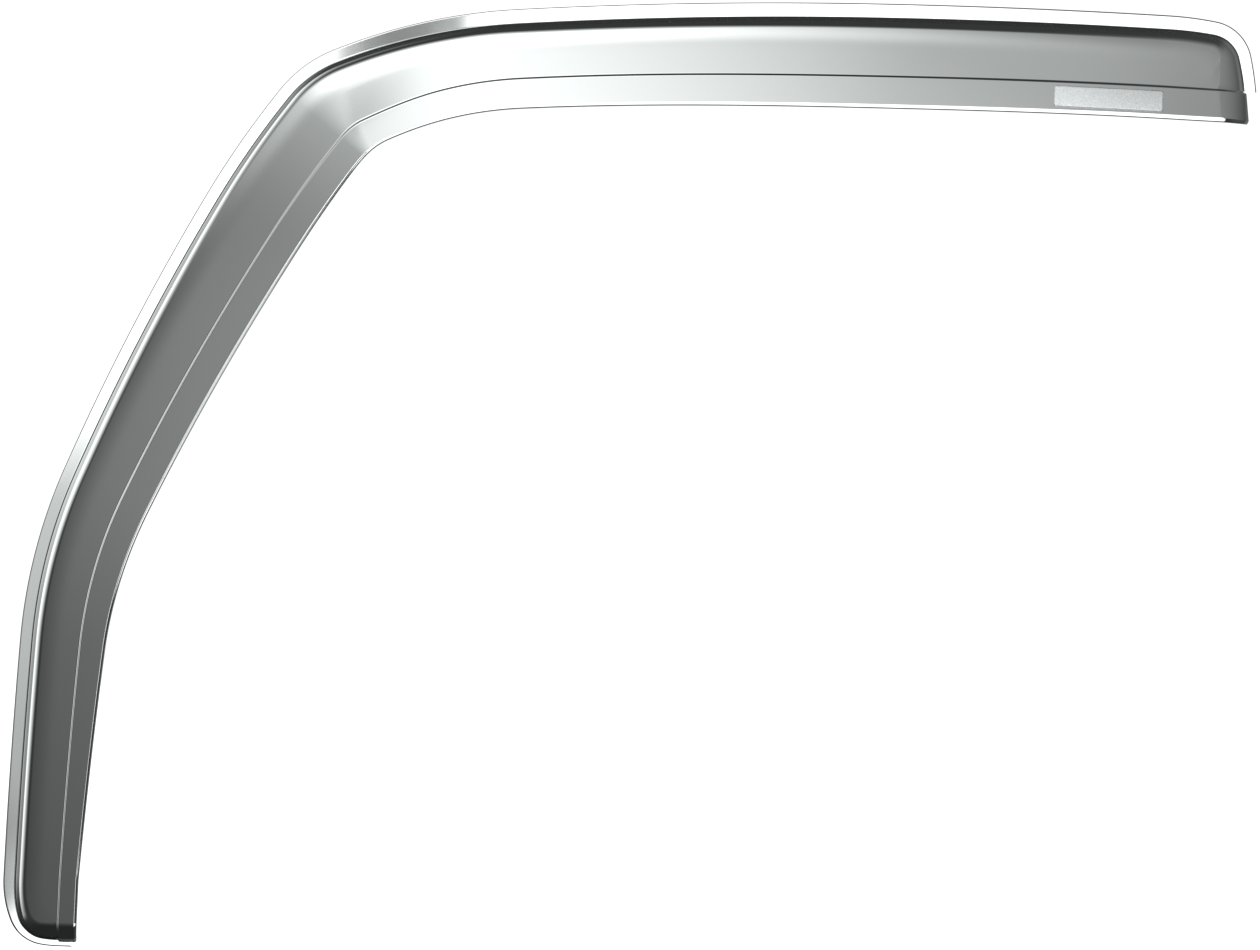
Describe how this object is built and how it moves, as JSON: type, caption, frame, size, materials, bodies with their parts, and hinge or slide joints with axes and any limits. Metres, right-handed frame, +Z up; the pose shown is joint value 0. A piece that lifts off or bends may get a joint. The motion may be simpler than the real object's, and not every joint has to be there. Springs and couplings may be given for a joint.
{
  "type": "window rain deflector",
  "caption": "One-piece chrome-look visor with a taped flange, raised face and proud lip, that frames the top and front edge of a side door window.",
  "frame": {"origin": "on the adhesive back of the top tape, in the middle of its length and width", "axes": "+X towards the rear of the door, +Y into the door, square to the tape's back, +Z up"},
  "size_m": [0.8406, 0.0259, 0.6333],
  "materials": {
    "chrome_skin": "mirror chrome plating over moulded plastic",
    "satin_metal": "satin, finely grained",
    "adhesive_pad": "matt adhesive pad",
    "foam_tape": "dark acrylic foam tape"
  },
  "bodies": {
    "root": {"visor": "chrome_skin", "badge": "satin_metal", "badge_pad": "adhesive_pad", "tape_leg": "foam_tape", "tape_pillar": "foam_tape", "tape_top": "foam_tape"}
  },
  "joints": []
}
